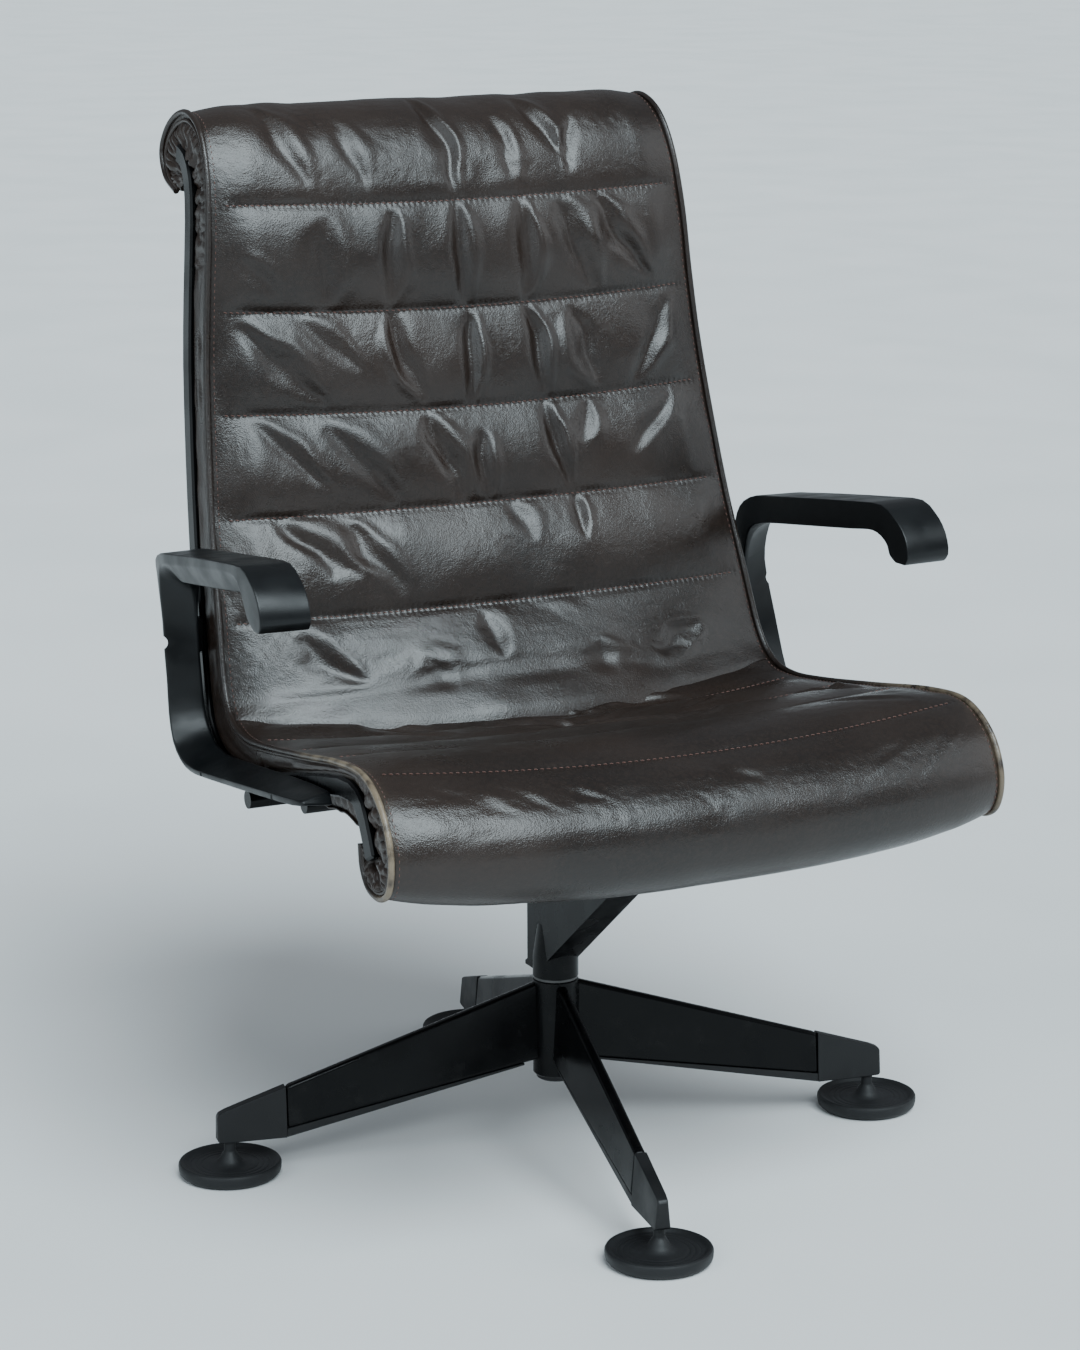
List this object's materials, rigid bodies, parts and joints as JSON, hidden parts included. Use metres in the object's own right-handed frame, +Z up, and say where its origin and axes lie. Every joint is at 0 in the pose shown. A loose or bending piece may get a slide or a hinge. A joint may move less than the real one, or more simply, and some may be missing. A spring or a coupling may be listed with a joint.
{
  "type": "swivel lounge chair",
  "caption": "Padded leather lounge chair with a curled S-shaped seat, open armrests and a blade-legged swivel base on disc glides.",
  "frame": {"origin": "on the floor under the swivel axis, in the middle of the four glides", "axes": "+Z up along the swivel axis, the seat faces -Y, +X is to the right of someone looking at the front"},
  "size_m": [0.7798, 0.7798, 1.0441],
  "materials": {
    "black_steel": "gloss",
    "black_plastic": "satin",
    "glide_plastic": "matte",
    "bright_steel": "satin",
    "nylon": "satin",
    "spring_steel": "satin",
    "rubber": "matte",
    "plywood": "matte",
    "upholstery_leather": "satin",
    "backing_leather": "satin",
    "arm_skin": "satin"
  },
  "bodies": {
    "base": {"base_hub": "black_steel", "hub_plug": "black_plastic", "spindle": "bright_steel", "thrust_washer": "nylon", "leg_1": "black_steel", "leg_2": "black_steel", "leg_3": "black_steel", "leg_4": "black_steel", "leg_strip_1": "black_plastic", "leg_strip_2": "black_plastic", "leg_strip_3": "black_plastic", "leg_strip_4": "black_plastic", "leg_end_cap_1": "black_plastic", "leg_end_cap_2": "black_plastic", "leg_end_cap_3": "black_plastic", "leg_end_cap_4": "black_plastic"},
    "swivel": {"upper_column": "black_steel", "column_bush_lower": "nylon", "column_bush_upper": "nylon", "mechanism_housing": "black_steel", "pivot_bush_left": "nylon", "pivot_bush_right": "nylon", "spring_seat": "bright_steel", "tilt_spring": "spring_steel", "rubber_stop": "rubber"},
    "seat": {"arm_left": "arm_skin", "arm_left_lug": "black_steel", "arm_left_spacer_1": "black_steel", "arm_left_spacer_2": "black_steel", "arm_right": "arm_skin", "arm_right_lug": "black_steel", "arm_right_spacer_1": "black_steel", "arm_right_spacer_2": "black_steel", "back_pad": "upholstery_leather", "back_shell": "plywood", "crossbar_front": "black_steel", "crossbar_rear": "black_steel", "front_roll": "upholstery_leather", "front_tube": "black_steel", "rear_cover": "backing_leather", "seat_pad": "upholstery_leather", "seat_shell": "plywood", "side_rail_left": "black_steel", "side_rail_right": "black_steel", "spring_cup": "nylon", "support_plate": "black_steel", "tilt_axle": "bright_steel", "tilt_bracket": "black_steel", "top_roll": "upholstery_leather", "top_tube": "black_steel", "under_cover": "backing_leather", "welt_left": "upholstery_leather", "welt_right": "upholstery_leather"},
    "glide_1": {"glide_1": "glide_plastic"},
    "glide_2": {"glide_2": "glide_plastic"},
    "glide_3": {"glide_3": "glide_plastic"},
    "glide_4": {"glide_4": "glide_plastic"}
  },
  "joints": [
    {"name": "seat_swivel", "type": "hinge", "parent": "base", "child": "swivel", "pos_m": [0, 0, 0.2], "axis": [0, 0, 1], "continuous": true},
    {"name": "seat_tilt", "type": "hinge", "parent": "swivel", "child": "seat", "pos_m": [0, -0.165, 0.375], "axis": [-1, 0, 0], "range_deg": [0, 12], "stiffness_Nm_per_rad": 150, "springref_deg": -20.05, "deforming": ["tilt_spring"]},
    {"name": "glide_1_turn", "type": "hinge", "parent": "base", "child": "glide_1", "pos_m": [0.05897, 0.33789, 0.03], "axis": [0, 0, 1], "continuous": true},
    {"name": "glide_2_turn", "type": "hinge", "parent": "base", "child": "glide_2", "pos_m": [-0.33789, 0.05897, 0.03], "axis": [0, 0, 1], "continuous": true},
    {"name": "glide_3_turn", "type": "hinge", "parent": "base", "child": "glide_3", "pos_m": [-0.05897, -0.33789, 0.03], "axis": [0, 0, 1], "continuous": true},
    {"name": "glide_4_turn", "type": "hinge", "parent": "base", "child": "glide_4", "pos_m": [0.33789, -0.05897, 0.03], "axis": [0, 0, 1], "continuous": true}
  ]
}
